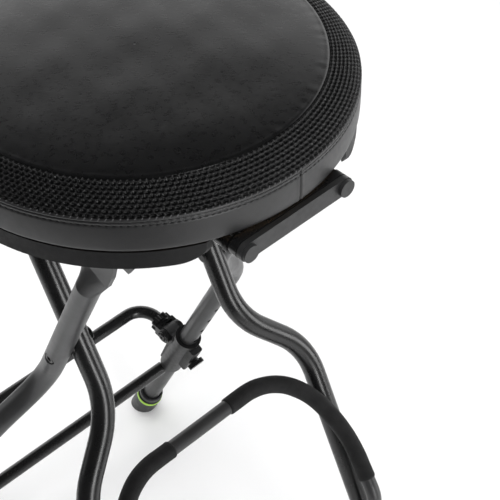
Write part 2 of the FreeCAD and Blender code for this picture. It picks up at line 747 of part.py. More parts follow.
def foam_side():
    before, after = arm_points[3], arm_points[4]
    tail = before + (after - before) * ((152.0 - 98.0) / 78.0)
    inside_tail = before + (after - before) * ((153.0 - 98.0) / 78.0)
    pts = [hoop_point(val("hoopbare"), 0)] + arm_points[1:4] + [tail]
    core_pts = [hoop_point(val("hoopbare") - 3, 0)] + arm_points[1:4] + [inside_tail]
    skin = sweep(path([tuple(p) for p in pts], arm_radii[:3]), "$foamradius")
    core = sweep(path([tuple(p) for p in core_pts], arm_radii[:3]), "$thintube / 2 + 0.02")
    return cut(skin, core)


foam = foam_side()
node("hoop_foam_right", foam, INNER)
node("hoop_foam_left", mirror(foam))

hoop_bolt = fuse(
    cylinder("3.0", "%.3f" % (xl + leg_r + 6.0 - (HX - 5.0)), (HX - 5.0, 0, -val("hooppivot")), XDIR),
    cylinder("5.6", "3.0", (HX - 5.9, 0, -val("hooppivot")), XDIR),
    polygon_prism([(xl + leg_r + 0.2, 6.0 * math.cos(math.radians(60 * k)), 6.0 * math.sin(math.radians(60 * k)) - val("hooppivot")) for k in range(6)], (5.0, 0, 0)),
)
hoop_bolt.Placement = INNER
node("hoop_bolts", group(hoop_bolt, mirror(hoop_bolt)))

# ================================================================== bumper
BH, BF = val("bumperhalf"), val("bumperfront")
bz = -val("bumperdrop")
half_tall = val("bumpertall") / 2
bar = fuse(
    block("2 * $bumperhalf", "$bumperthick", "$bumpertall", (-BH, -BF, bz - half_tall)),
    cylinder("$bumpertall / 2", "$bumperthick", (-BH, -BF, bz), YDIR),
    cylinder("$bumpertall / 2", "$bumperthick", (BH, -BF, bz), YDIR),
)
groove = cut(
    block("2 * $bumperhalf + 60", "1.2", "60", (-BH - 30, -BF + 4.6, bz - 30)),
    fuse(block("2 * $bumperhalf", "4", "$bumpertall - 2", (-BH, -BF + 3, bz - half_tall + 1)),
         cylinder("$bumpertall / 2 - 1", "4", (-BH, -BF + 3, bz), YDIR),
         cylinder("$bumpertall / 2 - 1", "4", (BH, -BF + 3, bz), YDIR)),
)
bar = cut(bar, groove, cylinder("3.2", "20", (-BH, -BF - 5, bz), YDIR), cylinder("3.2", "20", (BH, -BF - 5, bz), YDIR))
node("bumper_bar", seat_placed(bar))
caps, collars, posts = [], [], []
for side in (-1, 1):
    caps.append(fuse(
        cylinder("7.5", "3.4", (side * BH, -BF - 3.5, bz), YDIR),
        cylinder("3.1", "8", (side * BH, -BF - 1.0, bz), YDIR)))
    rail_x = 40.0 if side > 0 else -54.0
    posts.append(cut(
        fuse(cylinder("$postdiameter / 2", "98.5", (side * BH, -BF + 13.5, -val("postdrop")), YDIR),
             block("14", "38.5", "4.4", (rail_x, -BF + 14.5, -8.6))),
        cylinder("$postdiameter / 2 - 1.6", "112", (side * BH, -BF + 17.5, -val("postdrop")), YDIR)))
    collars.append(cut(
        cylinder("$postdiameter / 2 + 1.1", "5.0", (side * BH, -BF + 15.5, -val("postdrop")), YDIR),
        cylinder("$postdiameter / 2", "20", (side * BH, -BF + 5.0, -val("postdrop")), YDIR),
        block("14", "38.5", "4.4", (rail_x, -BF + 14.5, -8.6))))
node("bumper_caps", seat_placed(group(*caps)))
node("bumper_posts", seat_placed(group(*posts)))
node("bumper_collars", seat_placed(group(*collars)))
guides = []
for side in (-1, 1):
    inner_x = 40.0 if side > 0 else -63.0
    guides.append(cut(
        block("23", "52", "21", (inner_x, -128, -25.0)),
        cylinder("$postdiameter / 2 + $runfit", "160", (side * BH, -200, -val("postdrop")), YDIR)))
node("bumper_guide_right", seat_placed(guides[1]))
node("bumper_guide_left", seat_placed(guides[0]))

# ================================================================== write
doc.recompute()
bad = []
for obj in doc.Objects:
    states = [s for s in obj.State if s in ("Invalid", "Error")]
    if states:
        bad.append("%s (%s): %s" % (obj.Name, obj.Label, states))
for obj in NODES:
    shape = obj.Shape
    if shape.isNull() or not shape.isValid() or not shape.Solids:
        bad.append("%s: null, invalid or without a solid" % obj.Label)
if bad:
    raise SystemExit("\n".join(bad))

os.makedirs("parts", exist_ok=True)
for obj in NODES:
    obj.Shape.exportStep("parts/%s.step" % obj.Label)
    box = obj.Shape.BoundBox
    print("%-24s solids %d volume %10.0f  x %.1f..%.1f y %.1f..%.1f z %.1f..%.1f" % (
        obj.Label, len(obj.Shape.Solids), obj.Shape.Volume,
        box.XMin, box.XMax, box.YMin, box.YMax, box.ZMin, box.ZMax))
print(len(NODES), "nodes")
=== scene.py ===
import bpy
import bmesh
import math
import numpy as np
from mathutils import Matrix, Vector


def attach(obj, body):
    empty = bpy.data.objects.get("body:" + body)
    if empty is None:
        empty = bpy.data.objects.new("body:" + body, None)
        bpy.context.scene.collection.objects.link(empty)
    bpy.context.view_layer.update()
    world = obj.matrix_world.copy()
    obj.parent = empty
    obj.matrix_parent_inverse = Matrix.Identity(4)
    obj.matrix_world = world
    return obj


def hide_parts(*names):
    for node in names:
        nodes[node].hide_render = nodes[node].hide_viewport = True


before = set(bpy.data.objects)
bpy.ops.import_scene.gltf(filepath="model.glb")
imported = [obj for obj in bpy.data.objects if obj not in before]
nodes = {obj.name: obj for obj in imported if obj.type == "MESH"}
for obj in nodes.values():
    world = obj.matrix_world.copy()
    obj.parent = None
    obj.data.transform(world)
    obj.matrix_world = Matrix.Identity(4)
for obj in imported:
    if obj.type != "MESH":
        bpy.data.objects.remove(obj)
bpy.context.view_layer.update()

SEAT_Y, SEAT_Z = -0.0144, 0.765
rng = np.random.default_rng(7)


# ------------------------------------------------------------------ materials
class Mat:
    """A small node-tree builder around one Principled shader."""

    def __init__(self, name, rough=0.5, metallic=0.0, spec=0.5, coat=0.0, coat_rough=0.2, sheen=0.0, sheen_rough=0.5):
        self.m = bpy.data.materials.new(name)
        self.m.use_nodes = True
        self.t = self.m.node_tree
        self.t.nodes.clear()
        out = self.t.nodes.new("ShaderNodeOutputMaterial")
        self.b = self.t.nodes.new("ShaderNodeBsdfPrincipled")
        self.t.links.new(self.b.outputs[0], out.inputs[0])
        self.b.inputs["Roughness"].default_value = rough
        self.b.inputs["Metallic"].default_value = metallic
        self.b.inputs["Specular IOR Level"].default_value = spec
        self.b.inputs["Coat Weight"].default_value = coat
        self.b.inputs["Coat Roughness"].default_value = coat_rough
        self.b.inputs["Sheen Weight"].default_value = sheen
        self.b.inputs["Sheen Roughness"].default_value = sheen_rough
        self.co = self.t.nodes.new("ShaderNodeTexCoord").outputs["Object"]

    def node(self, kind, **props):
        n = self.t.nodes.new(kind)
        for k, v in props.items():
            setattr(n, k, v)
        return n

    def link(self, a, b):
        self.t.links.new(a, b)

    def mapped(self, scale=(1, 1, 1), rot=(0, 0, 0)):
        n = self.node("ShaderNodeMapping")
        n.inputs["Scale"].default_value = scale
        n.inputs["Rotation"].default_value = rot
        self.link(self.co, n.inputs["Vector"])
        return n.outputs[0]

    def noise(self, scale, detail=3.0, rough=0.5, vec=None):
        n = self.node("ShaderNodeTexNoise")
        n.inputs["Scale"].default_value = scale
        n.inputs["Detail"].default_value = detail
        n.inputs["Roughness"].default_value = rough
        self.link(vec or self.co, n.inputs["Vector"])
        return n.outputs["Fac"]

    def voronoi(self, scale, feature="F1", vec=None, smooth=None):
        n = self.node("ShaderNodeTexVoronoi", feature=feature)
        n.inputs["Scale"].default_value = scale
        if smooth is not None and "Smoothness" in n.inputs:
            n.inputs["Smoothness"].default_value = smooth
        self.link(vec or self.co, n.inputs["Vector"])
        return n.outputs["Distance"]

    def remap(self, fac, lo, hi, a=0.0, b=1.0, clamp=True):
        n = self.node("ShaderNodeMapRange", clamp=clamp)
        n.inputs["From Min"].default_value = a
        n.inputs["From Max"].default_value = b
        n.inputs["To Min"].default_value = lo
        n.inputs["To Max"].default_value = hi
        self.link(fac, n.inputs["Value"])
        return n.outputs["Result"]

    def ramp(self, fac, stops):
        n = self.node("ShaderNodeValToRGB")
        e = n.color_ramp.elements
        while len(e) < len(stops):
            e.new(0.5)
        for item, (pos, col) in zip(e, stops):
            item.position = pos
            item.color = (*col, 1.0)
        self.link(fac, n.inputs["Fac"])
        return n.outputs["Color"]

    def mix(self, fac, a, b):
        n = self.node("ShaderNodeMix", data_type="RGBA")
        ia = [s for s in n.inputs if s.type == "RGBA"]
        for sock, v in ((ia[0], a), (ia[1], b)):
            if isinstance(v, tuple):
                sock.default_value = (*v, 1.0)
            else:
                self.link(v, sock)
        if isinstance(fac, float):
            n.inputs["Factor"].default_value = fac
        else:
            self.link(fac, n.inputs["Factor"])
        return [s for s in n.outputs if s.type == "RGBA"][0]

    def math(self, op, a, b):
        n = self.node("ShaderNodeMath", operation=op)
        for i, v in enumerate((a, b)):
            if isinstance(v, (int, float)):
                n.inputs[i].default_value = v
            else:
                self.link(v, n.inputs[i])
        return n.outputs[0]

    def attr(self, name):
        n = self.node("ShaderNodeAttribute", attribute_name=name)
        return n.outputs["Fac"]

    def bump(self, height, strength, distance, after=None):
        n = self.node("ShaderNodeBump")
        n.inputs["Strength"].default_value = strength
        n.inputs["Distance"].default_value = distance
        self.link(height, n.inputs["Height"])
        if after is not None:
            self.link(after, n.inputs["Normal"])
        return n.outputs[0]

    def color(self, sock):
        if isinstance(sock, tuple):
            self.b.inputs["Base Color"].default_value = (*sock, 1.0)
        else:
            self.link(sock, self.b.inputs["Base Color"])
        return self

    def rough(self, sock):
        self.link(sock, self.b.inputs["Roughness"])
        return self

    def normal(self, sock):
        self.link(sock, self.b.inputs["Normal"])
        return self


def paint(name, dark, light, rough=(0.3, 0.42), peel=1100.0, peel_strength=0.12, metallic=0.0, coat=0.0, spec=0.5, fleck=0.0):
    """Powder coat: orange-peel bump, faint cloudiness and scuffs."""
    m = Mat(name, metallic=metallic, coat=coat, coat_rough=0.25, spec=spec)
    cloud = m.noise(22.0, 4.0, 0.6)
    fine = m.noise(peel, 2.0, 0.5)
    base = m.ramp(cloud, [(0.3, dark), (0.7, light)])
    if fleck:
        spark = m.ramp(m.voronoi(2600.0), [(0.0, (fleck,) * 3), (0.22, (0.0, 0.0, 0.0))])
        n = m.node("ShaderNodeMix", data_type="RGBA", blend_type="ADD")
        ia = [s for s in n.inputs if s.type == "RGBA"]
        n.inputs["Factor"].default_value = 1.0
        m.link(base, ia[0])
        m.link(spark, ia[1])
        base = [s for s in n.outputs if s.type == "RGBA"][0]
    m.color(base)
    m.rough(m.remap(m.noise(60.0, 5.0, 0.65), rough[0], rough[1], 0.3, 0.7))
    m.normal(m.bump(fine, peel_strength, 0.0003))
    return m.m


def moulded(name, dark, light, rough=(0.42, 0.58), grain=1500.0, strength=0.3, spec=0.5):
    """Moulded plastic with a fine spark-eroded grain."""
    m = Mat(name, spec=spec)
    m.color(m.ramp(m.noise(30.0, 4.0, 0.6), [(0.3, dark), (0.7, light)]))
    m.rough(m.remap(m.noise(220.0, 3.0), rough[0], rough[1], 0.3, 0.7))
    cells = m.voronoi(grain, "SMOOTH_F1", smooth=0.5)
    m.normal(m.bump(cells, strength, 0.00025, m.bump(m.noise(grain * 0.6, 2.0), strength * 0.5, 0.0002)))
    return m.m


def leather(name, dark, light, rough=(0.36, 0.5), grain=560.0, strength=0.35, stretch=True, spec=0.5):
    """Leatherette: fine pebble grain, drawn a little one way."""
    m = Mat(name, spec=spec)
    turned = m.mapped((1, 1, 1), (0, 0, math.radians(43)))
    long_way = m.node("ShaderNodeMapping")
    long_way.inputs["Scale"].default_value = (0.38, 1.0, 1.0) if stretch else (0.8, 1.0, 1.0)
    m.link(turned, long_way.inputs["Vector"])
    lv = long_way.outputs[0]
    warp = m.node("ShaderNodeVectorMath", operation="ADD")
    nz = m.node("ShaderNodeTexNoise")
    nz.inputs["Scale"].default_value = 150.0
    m.link(lv, nz.inputs["Vector"])
    small = m.node("ShaderNodeVectorMath", operation="SCALE")
    small.inputs["Scale"].default_value = 0.0010
    m.link(nz.outputs["Color"], small.inputs[0])
    m.link(lv, warp.inputs[0])
    m.link(small.outputs[0], warp.inputs[1])
    pebble = m.voronoi(grain, "SMOOTH_F1", vec=warp.outputs[0], smooth=0.35)
    drape = m.noise(26.0, 3.0, 0.5, vec=lv)
    tone = m.noise(14.0, 5.0, 0.62)
    base = m.ramp(tone, [(0.28, dark), (0.72, light)])
    m.color(base)
    m.rough(m.remap(m.noise(170.0, 4.0, 0.6), rough[0], rough[1], 0.3, 0.7))
    n1 = m.bump(drape, 0.13, 0.0010)
    n3 = m.bump(pebble, strength, 0.0003, n1)
    m.normal(n3)
    return m.m


def rubbery(name, dark, light, rough=(0.6, 0.8), scale=900.0, strength=0.5, pores=0.0, sheen=0.1, spec=0.4):
    m = Mat(name, spec=spec, sheen=sheen, sheen_rough=0.6)
    tone = m.noise(40.0, 5.0, 0.65)
    base = m.ramp(tone, [(0.3, dark), (0.7, light)])
    cells = m.voronoi(scale, "F1")
    if pores:
        base = m.mix(m.remap(cells, pores, 0.0, 0.0, 0.3), base, tuple(c * 0.25 for c in dark))
    m.color(base)
    m.rough(m.remap(m.noise(120.0, 3.0), rough[0], rough[1], 0.3, 0.7))
    m.normal(m.bump(cells, strength, 0.00035, m.bump(m.noise(scale * 0.35, 3.0, 0.6), strength * 0.6, 0.0004)))
    return m.m


def worn_steel(name, dark, light, rough=(0.25, 0.45)):
    m = Mat(name, metallic=1.0)
    m.color(m.ramp(m.noise(300.0, 4.0, 0.6), [(0.3, dark), (0.7, light)]))
    m.rough(m.remap(m.noise(400.0, 4.0), rough[0], rough[1], 0.3, 0.7))
    m.normal(m.bump(m.noise(1600.0, 2.0), 0.15, 0.0001))
    return m.m


def plywood(name):
    m = Mat(name, spec=0.35)
    grain = m.noise(60.0, 6.0, 0.6, vec=m.mapped((0.6, 9.0, 1.0)))
    layers = m.node("ShaderNodeTexWave", wave_type="BANDS", bands_direction="Z")
    layers.inputs["Scale"].default_value = 210.0
    layers.inputs["Distortion"].default_value = 0.6
    m.link(m.co, layers.inputs["Vector"])
    face = m.ramp(grain, [(0.3, (0.30, 0.19, 0.10)), (0.7, (0.44, 0.31, 0.18))])
    m.color(m.mix(m.remap(layers.outputs["Fac"], 0.0, 0.35), face, (0.2, 0.12, 0.06)))
    m.rough(m.remap(grain, 0.5, 0.7))
    m.normal(m.bump(grain, 0.2, 0.0004))
    return m.m


M_TOP = leather("top_leatherette", (0.0017, 0.0017, 0.0018), (0.0032, 0.0032, 0.0034), rough=(0.25, 0.34), grain=620.0, strength=0.09)
M_BLACK = paint("frame_black_coat", (0.004, 0.004, 0.0042), (0.007, 0.007, 0.0072), rough=(0.24, 0.32), spec=0.55)
M_GRAPHITE = paint("frame_graphite_coat", (0.044, 0.0444, 0.0453), (0.056, 0.0564, 0.0573), rough=(0.32, 0.42), metallic=0.62, fleck=0.05)
M_HOOPBAR = paint("hoop_graphite_coat", (0.019, 0.019, 0.0196), (0.027, 0.027, 0.0276), rough=(0.34, 0.46), fleck=0.03)
M_SLEEVE = moulded("sleeve_graphite", (0.0255, 0.0255, 0.0262), (0.0345, 0.0345, 0.0353), rough=(0.4, 0.55), strength=0.2)
M_SKIRT = moulded("skirt_dark", (0.0036, 0.0036, 0.0038), (0.006, 0.006, 0.0063), rough=(0.46, 0.6), strength=0.2, spec=0.27)
M_BUMPER = moulded("bumper_graphite", (0.0122, 0.0122, 0.0127), (0.0178, 0.0178, 0.0184), rough=(0.42, 0.55), strength=0.22)
M_RIM = moulded("bumper_rim", (0.012, 0.012, 0.0124), (0.018, 0.018, 0.0185), rough=(0.3, 0.4), strength=0.15)
M_PLASTIC = moulded("plastic_black", (0.003, 0.003, 0.0032), (0.0055, 0.0055, 0.0058), rough=(0.34, 0.46), strength=0.25)
M_FOAM = rubbery("grip_foam", (0.0048, 0.0048, 0.005), (0.0074, 0.0074, 0.0077), rough=(0.72, 0.9), scale=1300.0, strength=0.6, pores=0.5, sheen=0.03, spec=0.3)
M_RUBBER = rubbery("foot_rubber", (0.006, 0.0062, 0.0075), (0.011, 0.0113, 0.0135), rough=(0.4, 0.55), scale=1600.0, strength=0.2, sheen=0.04)
M_BOLT = paint("bolt_black_oxide", (0.012, 0.012, 0.012), (0.022, 0.022, 0.022), rough=(0.25, 0.4), metallic=0.5)
M_HOLE_SHADE = moulded("hole_shadow", (0.001, 0.001, 0.001), (0.0016, 0.0016, 0.0016), rough=(0.8, 0.9), spec=0.1)
M_ZINC = worn_steel("screw_zinc", (0.42, 0.42, 0.43), (0.62, 0.62, 0.63))
M_WOOD = plywood("seat_plywood")


def lime():
    m = Mat("foot_lime", spec=0.5)
    m.color(m.ramp(m.noise(120.0, 3.0), [(0.3, (0.30, 0.56, 0.03)), (0.7, (0.38, 0.66, 0.05))]))
    m.rough(m.remap(m.noise(260.0, 3.0), 0.3, 0.42, 0.3, 0.7))
    m.normal(m.bump(m.noise(900.0), 0.12, 0.0002))
    return m.m


M_LIME = lime()


def mesh_fabric():
    """Knitted spacer fabric: threads over cells whose hollows are painted near-black, painted shade in the knit's
    holes.
    """
    m = Mat("spacer_mesh", spec=0.55)
    depth = m.attr("cell")
    tone = m.noise(500.0, 3.0)
    thread = m.ramp(tone, [(0.3, (0.0045, 0.0045, 0.0047)), (0.7, (0.0085, 0.0085, 0.0088))])
    # the 'cell' attribute marks the knit's holes, painted near-black as painted shade
    m.color(m.mix(m.remap(depth, 0.0, 1.0, 0.1, 0.6), thread, (0.0009, 0.0009, 0.001)))
    m.rough(m.remap(tone, 0.3, 0.42, 0.3, 0.7))
    yarn = m.node("ShaderNodeTexWave", wave_type="BANDS", bands_direction="X")
    yarn.inputs["Scale"].default_value = 300.0
    yarn.inputs["Distortion"].default_value = 5.0
    yarn.inputs["Detail"].default_value = 2.0
    m.link(m.co, yarn.inputs["Vector"])
    m.normal(m.bump(yarn.outputs["Fac"], 0.5, 0.0004))
    return m.m


M_MESH = mesh_fabric()


def thread_mat(name, dark, light):
    m = Mat(name, rough=0.45, sheen=0.1)
    m.color(m.ramp(m.noise(700.0), [(0.3, dark), (0.7, light)]))
    tw = m.node("ShaderNodeTexWave", wave_type="BANDS", bands_direction="DIAGONAL")
    tw.inputs["Scale"].default_value = 700.0
    m.link(m.co, tw.inputs["Vector"])
    m.normal(m.bump(tw.outputs["Fac"], 0.5, 0.0002))
    return m.m


M_THREAD = thread_mat("stitch_thread", (0.05, 0.05, 0.052), (0.085, 0.085, 0.087))
M_DARK_THREAD = thread_mat("topstitch_thread", (0.002, 0.002, 0.0021), (0.004, 0.004, 0.0042))


def band_mat():
    """Smooth leatherette of the side band; its sewn channels, seam groove and the strip under the top roll are painted
    darker as painted shade, the seam partly a dark joint.
    """
    m = Mat("band_leatherette", spec=0.62)
    tone = m.noise(18.0, 5.0, 0.6)
    base = m.ramp(tone, [(0.28, (0.0092, 0.0092, 0.0095)), (0.72, (0.0132, 0.0132, 0.0136))])
    # the 'groove' attribute paints shade into the seam groove, under the top roll and into the stitch pockets
    m.color(m.mix(m.attr("groove"), base, (0.0012, 0.0012, 0.0013)))
    m.rough(m.remap(m.noise(170.0, 4.0, 0.6), 0.38, 0.48, 0.3, 0.7))
    pebble = m.voronoi(950.0, "SMOOTH_F1", smooth=0.4)
    m.normal(m.bump(pebble, 0.12, 0.0003, m.bump(m.noise(34.0, 3.0), 0.3, 0.001)))
    return m.m


M_BAND = band_mat()


# ------------------------------------------------------------------ mesh helpers
def mesh_object(name, verts, faces, mat, smooth=True, attrs=None):
    """verts in metres (N,3), faces an (M,4) or list of tuples."""
    me = bpy.data.meshes.new(name)
    me.from_pydata([tuple(v) for v in verts], [], [tuple(int(i) for i in f) for f in faces])
    for key, values in (attrs or {}).items():
        a = me.attributes.new(key, "FLOAT", "POINT")
        a.data.foreach_set("value", np.asarray(values, np.float32))
    bm = bmesh.new()
    bm.from_mesh(me)
    bmesh.ops.recalc_face_normals(bm, faces=bm.faces)
    mid = Vector(np.asarray(verts).mean(axis=0))
    if sum(f.normal.dot(f.calc_center_median() - mid) * f.calc_area() for f in bm.faces) < 0:
        bmesh.ops.reverse_faces(bm, faces=bm.faces)
    bm.to_mesh(me)
    bm.free()
    me.update()
    if smooth:
        me.polygons.foreach_set("use_smooth", [True] * len(me.polygons))
    ob = bpy.data.objects.new(name, me)
    bpy.context.scene.collection.objects.link(ob)
    ob.data.materials.append(mat)
    return ob


def grid_faces(nu, nv, wrap_u=True, wrap_v=False, base=0):
    """Quads of a grid laid out as index = i * nv + j, i along u."""
    iu = np.arange(nu if wrap_u else nu - 1)
    jv = np.arange(nv if wrap_v else nv - 1)
    i, j = np.meshgrid(iu, jv, indexing="ij")
    i2, j2 = (i + 1) % nu, (j + 1) % nv
    q = np.stack([i * nv + j, i2 * nv + j, i2 * nv + j2, i * nv + j2], -1).reshape(-1, 4)
    return q + base


def smooth_profile(points, step):
    """Catmull-Rom through (r, z) points, sampled about every `step` mm."""
    p = np.array(points, float)
    out = []
    for k in range(len(p) - 1):
        p0, p1, p2 = p[max(k - 1, 0)], p[k], p[k + 1]
        p3 = p[min(k + 2, len(p) - 1)]
        n = max(2, int(np.linalg.norm(p2 - p1) / step))
        for t in np.arange(n) / n:
            out.append(0.5 * ((2 * p1) + (-p0 + p2) * t + (2 * p0 - 5 * p1 + 4 * p2 - p3) * t * t + (-p0 + 3 * p1 - 3 * p2 + p3) * t ** 3))
    out.append(p[-1])
    return np.array(out)


def seat_point(r, phi, z):
    """mm in the seat's own frame to metres in the row frame."""
    return np.stack([r * np.cos(phi) / 1000, r * np.sin(phi) / 1000 + SEAT_Y, z / 1000 + SEAT_Z], -1)


def lathe(name, profile, mat, nu=360, relief=None, attrs_fn=None):
    """Turns (r, z) points about the seat's axis. relief(phi, r, z, k) moves points out along the profile's normal, mm."""
    prof = np.asarray(profile, float)
    nv = len(prof)
    phi = np.linspace(0, 2 * math.pi, nu, endpoint=False)
    tang = np.gradient(prof, axis=0)
    tang /= np.maximum(np.linalg.norm(tang, axis=1, keepdims=True), 1e-9)
    norm = np.stack([tang[:, 1], -tang[:, 0]], -1)
    P, K = np.meshgrid(phi, np.arange(nv), indexing="ij")
    R, Z = prof[K, 0], prof[K, 1]
    attrs = attrs_fn(P, R, Z, K) if attrs_fn else None
    if relief is not None:
        d = relief(P, R, Z, K)
        R, Z = R + norm[K, 0] * d, Z + norm[K, 1] * d
    v = seat_point(R, P, Z).reshape(-1, 3)
    return mesh_object(name, v, grid_faces(nu, nv), mat, attrs=attrs)


def periodic_noise(phi, freqs, seed):
    r = np.random.default_rng(seed)
    out = np.zeros_like(phi)
    for f, a in freqs:
        out = out + a * np.sin(f * phi + r.uniform(0, 2 * math.pi))
    return out


# ------------------------------------------------------------------ cushion
# the top's line, from the crown out to the seam under the mesh border
CROWN = [(0, 55.0), (60, 54.6), (110, 53.0), (140, 50.6), (154.4, 48.2), (162.0, 45.0), (170.0, 40.5), (177.0, 34.5), (179.3, 31.0)]
_cr = np.array([c[0] for c in CROWN])
_cz = np.array([c[1] for c in CROWN])
_fine = smooth_profile(CROWN, 1.0)


def top_z(r):
    return np.interp(r, _fine[:, 0], _fine[:, 1])


# leather panel: grid in polar form with a rolled edge that dives into the seam
radii = np.concatenate([np.linspace(0.6, 149.6, 120), np.linspace(150.2, 154.0, 9), [154.45, 154.65, 154.65]])
z_line = top_z(radii)
z_line[-12:-3] += np.array([0.03, 0.07, 0.12, 0.18, 0.22, 0.22, 0.16, 0.05, -0.2])
z_line[-3:] += np.array([-0.8, -1.8, -3.0])
nu = 480
phi = np.linspace(0, 2 * math.pi, nu, endpoint=False)
P, Rg = np.meshgrid(phi, radii, indexing="ij")
Zg = np.broadcast_to(z_line, P.shape).copy()
# soft unevenness of foam under a taut cover
X, Y = Rg * np.cos(P), Rg * np.sin(P)
soft = (0.28 * np.sin(X / 31.0 + 0.7) * np.sin(Y / 37.0 + 1.9) + 0.2 * np.sin((X + 1.3 * Y) / 23.0) * np.cos((Y - 0.6 * X) / 29.0 + 0.4)
        + 0.07 * np.sin((1.4 * X - Y) / 11.0 + 2.0) * np.sin((X + Y) / 13.0))
Zg += soft * np.clip((150.0 - Rg) / 40.0, 0, 1)
# gathers that run in from the seam
gather = periodic_noise(P, [(61, 0.035), (83, 0.03), (47, 0.03), (113, 0.02)], 3)
Zg += gather * np.exp(-((Rg - 150.0) / 5.0) ** 2)
V = seat_point(Rg, P, Zg).reshape(-1, 3)
top_faces = list(map(tuple, grid_faces(nu, len(radii))))
centre_index = len(V)
V = np.vstack([V, seat_point(np.array([0.0]), np.array([0.0]), np.array([55.0]))])
nvr = len(radii)
top_faces += [(centre_index, i * nvr, ((i + 1) % nu) * nvr) for i in range(nu)]
leather_top = mesh_object("seat_leather_top", V, top_faces, M_TOP)
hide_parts("seat_cushion")

# mesh border: a knit of rounded cells, real relief
ring_line = smooth_profile([(154.7, 46.9), (154.85, 47.9), (155.6, 48.15), (158.4, 47.2), (162.0, 45.3), (170.0, 40.9), (176.2, 35.9), (178.6, 32.6), (178.9, 31.2)], 0.55)
seg = np.linalg.norm(np.diff(ring_line, axis=0), axis=1)
s_at = np.concatenate([[0], np.cumsum(seg)])
S_LEN = s_at[-1]
ns = 82
s_even = np.linspace(0, S_LEN, ns)
ring_line = np.stack([np.interp(s_even, s_at, ring_line[:, 0]), np.interp(s_even, s_at, ring_line[:, 1])], -1)
COLS, ROWS = 212, 9
per = 10
nu = COLS * per
phi = np.linspace(0, 2 * math.pi, nu, endpoint=False)
P, K = np.meshgrid(phi, np.arange(ns), indexing="ij")
rowf = (s_even[K] / S_LEN) * ROWS
row = np.floor(rowf)
fy = rowf - row - 0.5
colf = P / (2 * math.pi) * COLS + 0.5 * (row % 2)
fx = colf - np.floor(colf) - 0.5
cellr = np.sqrt((fx / 0.42) ** 2 + (fy / 0.40) ** 2)
hole = np.clip(1.25 - cellr, 0, 1) ** 0.7
edge = np.clip(np.minimum(s_even[K], S_LEN - s_even[K]) / 0.55, 0, 1)
hole = hole * edge
puff = 0.35 * np.clip(1 - np.abs(cellr - 1.45) / 0.6, 0, 1) * edge
knit = 0.07 * np.sin(P * COLS * 3) * np.sin(rowf * math.pi * 5)
depth = -1.45 * hole + 0.8 * puff + knit * (1 - hole) * edge
tang = np.gradient(ring_line, axis=0)
tang /= np.linalg.norm(tang, axis=1, keepdims=True)
nrm = np.stack([-tang[:, 1], tang[:, 0]], -1)
R = ring_line[K, 0] + nrm[K, 0] * depth
Z = ring_line[K, 1] + nrm[K, 1] * depth
V = seat_point(R, P, Z).reshape(-1, 3)
# the hole mask goes out as the 'cell' attribute; the fabric paints these holes near-black as painted shade
mesh_ring = mesh_object("seat_mesh_border", V, grid_faces(nu, ns), M_MESH, attrs={"cell": np.clip(hole, 0, 1).reshape(-1)})

# side band: rolled at the top seam, a sewn channel below it, slight belly, turned under
band_line = smooth_profile([(178.0, 30.0), (178.7, 31.4), (179.4, 31.8), (180.0, 31.2), (180.15, 30.3), (179.9, 29.5), (179.3, 29.0), (179.85, 28.4),
                            (180.05, 27.4), (179.85, 26.2), (179.5, 25.6), (179.85, 25.0), (180.15, 23.4), (180.3, 15.0), (180.15, 7.0),
                            (179.8, 2.0), (179.0, 0.5), (177.6, 0.1), (174.6, 0.5), (174.6, 6.0)], 0.42)
SEAM_AT = math.radians(-88.5)
STITCHES = 220


def seam_arcs(P):
    near = ((P - SEAM_AT + math.pi) % (2 * math.pi) - math.pi) * 180.0
    far_side = ((P - SEAM_AT) % (2 * math.pi) - math.pi) * 180.0
    return near, far_side


def stitch_pockets(P, Z):
    return np.exp(-((Z - 25.6) / 0.75) ** 2) * (0.5 + 0.5 * np.cos(STITCHES * P)) ** 2


def band_relief(P, R, Z, K):
    d = periodic_noise(P, [(9, 0.05), (14, 0.05), (23, 0.04)], 11)
    pucker = 0.09 * np.sin(P * STITCHES) * np.exp(-((Z - 28.2) / 2.2) ** 2)
    side = (Z > 0.6) & (R > 178.4)
    a1, a2 = seam_arcs(P)
    groove = -1.1 * np.exp(-(a1 / 0.75) ** 2) + 0.35 * np.exp(-((np.abs(a1) - 2.2) / 1.2) ** 2)
    groove2 = -1.1 * np.exp(-(a2 / 0.75) ** 2) + 0.35 * np.exp(-((np.abs(a2) - 2.2) / 1.2) ** 2)
    return -(d + pucker + (groove + groove2) * side - 0.5 * stitch_pockets(P, Z))


# painted shade: darkens the seam's groove (partly a dark joint), the strip under the top roll and the stitch pockets
def band_painted_shade(P, R, Z, K):
    a1, a2 = seam_arcs(P)
    body = (R > 178.4) & (Z > 0.6)
    seam = np.exp(-(a1 / 0.5) ** 4) + np.exp(-(a2 / 0.5) ** 4)
    # painted shade under the rolled top edge
    shade_under_roll = 0.85 * np.exp(-((Z - 29.0) / 0.42) ** 2)
    g = np.clip(seam * body + shade_under_roll * body + 0.8 * stitch_pockets(P, Z), 0, 1)
    return {"groove": g.reshape(-1)}


nu = 1760
seam_band = lathe("seat_side_band", band_line, M_BAND, nu=nu, relief=band_relief, attrs_fn=band_painted_shade)


